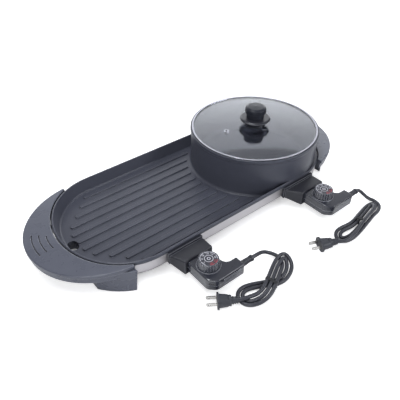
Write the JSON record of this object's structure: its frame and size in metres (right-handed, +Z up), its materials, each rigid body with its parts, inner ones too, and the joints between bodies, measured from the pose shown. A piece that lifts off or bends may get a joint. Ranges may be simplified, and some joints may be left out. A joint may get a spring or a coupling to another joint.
{
  "type": "electric grill and hot pot with lid",
  "caption": "Electric ribbed grill tray cast in one with a round hot pot, with a lift-off glass lid, crescent end handles and plug-in thermostat controllers on cords.",
  "frame": {"origin": "on the table under the middle of the grill plate", "axes": "+X along the plate towards the pot, -Y towards the controllers, +Z up"},
  "size_m": [0.6306, 0.3831, 0.1393],
  "materials": {
    "nonstick_coating": "satin",
    "bare_aluminium": "satin",
    "zinc_plated_steel": "satin",
    "element_sheath": "matte",
    "terminal_pins": "satin",
    "phenolic": "gloss",
    "guard_plastic": "gloss",
    "black_rubber": "matte",
    "silicone": "matte",
    "lid_glass": "gloss",
    "stainless_rim": "polished",
    "case_plastic": "gloss",
    "dial_plastic": "gloss",
    "dial_print": "satin",
    "thermostat_body": "matte",
    "probe_steel": "satin",
    "contact_brass": "satin",
    "plug_brass": "polished",
    "lead_insulation": "matte",
    "cord_pvc": "satin",
    "tie_plastic": "matte"
  },
  "bodies": {
    "base": {"pan_casting": "nonstick_coating", "base_shield": "bare_aluminium", "shield_screws": "zinc_plated_steel", "grill_element": "element_sheath", "pot_element": "element_sheath", "grill_terminals": "terminal_pins", "pot_terminals": "terminal_pins", "grill_socket": "phenolic", "pot_socket": "phenolic", "socket_screws": "zinc_plated_steel", "left_handle": "phenolic", "right_handle": "phenolic", "handle_brackets": "zinc_plated_steel", "handle_screws": "zinc_plated_steel", "foot_pads": "black_rubber"},
    "lid": {"lid_glass": "lid_glass", "lid_rim": "stainless_rim", "lid_vent": "stainless_rim", "knob_foot": "phenolic", "knob_guard": "guard_plastic", "lid_knob": "phenolic", "knob_screw": "zinc_plated_steel", "knob_washer": "silicone"},
    "grill_controller": {"grill_upper_shell": "case_plastic", "grill_lower_shell": "case_plastic", "grill_case_screws": "zinc_plated_steel", "grill_probe": "probe_steel", "grill_contacts": "contact_brass", "grill_thermostat": "thermostat_body", "grill_leads": "lead_insulation", "grill_strain_relief": "cord_pvc", "grill_cord": "cord_pvc", "grill_cord_hank": "cord_pvc", "grill_cord_tie": "tie_plastic", "grill_plug_body": "cord_pvc", "grill_plug_blades": "plug_brass"},
    "grill_dial": {"grill_dial_shaft": "probe_steel", "grill_dial_knob": "dial_plastic", "grill_dial_face": "dial_print"},
    "pot_controller": {"pot_upper_shell": "case_plastic", "pot_lower_shell": "case_plastic", "pot_case_screws": "zinc_plated_steel", "pot_probe": "probe_steel", "pot_contacts": "contact_brass", "pot_thermostat": "thermostat_body", "pot_leads": "lead_insulation", "pot_strain_relief": "cord_pvc", "pot_cord": "cord_pvc", "pot_cord_hank": "cord_pvc", "pot_cord_tie": "tie_plastic", "pot_plug_body": "cord_pvc", "pot_plug_blades": "plug_brass"},
    "pot_dial": {"pot_dial_shaft": "probe_steel", "pot_dial_knob": "dial_plastic", "pot_dial_face": "dial_print"}
  },
  "joints": [
    {"name": "lid_lift", "type": "slide", "parent": "base", "child": "lid", "axis": [0, 0, 1], "range_m": [0, 0.12]},
    {"name": "grill_controller_pull", "type": "slide", "parent": "base", "child": "grill_controller", "axis": [0, -1, 0], "range_m": [0, 0.065]},
    {"name": "pot_controller_pull", "type": "slide", "parent": "base", "child": "pot_controller", "axis": [0, -1, 0], "range_m": [0, 0.065]},
    {"name": "grill_dial_turn", "type": "hinge", "parent": "grill_controller", "child": "grill_dial", "pos_m": [-0.111, -0.171, 0.04], "axis": [0, 0, 1], "range_deg": [0, 290]},
    {"name": "pot_dial_turn", "type": "hinge", "parent": "pot_controller", "child": "pot_dial", "pos_m": [0.151, -0.171, 0.04], "axis": [0, 0, 1], "range_deg": [0, 290]}
  ]
}
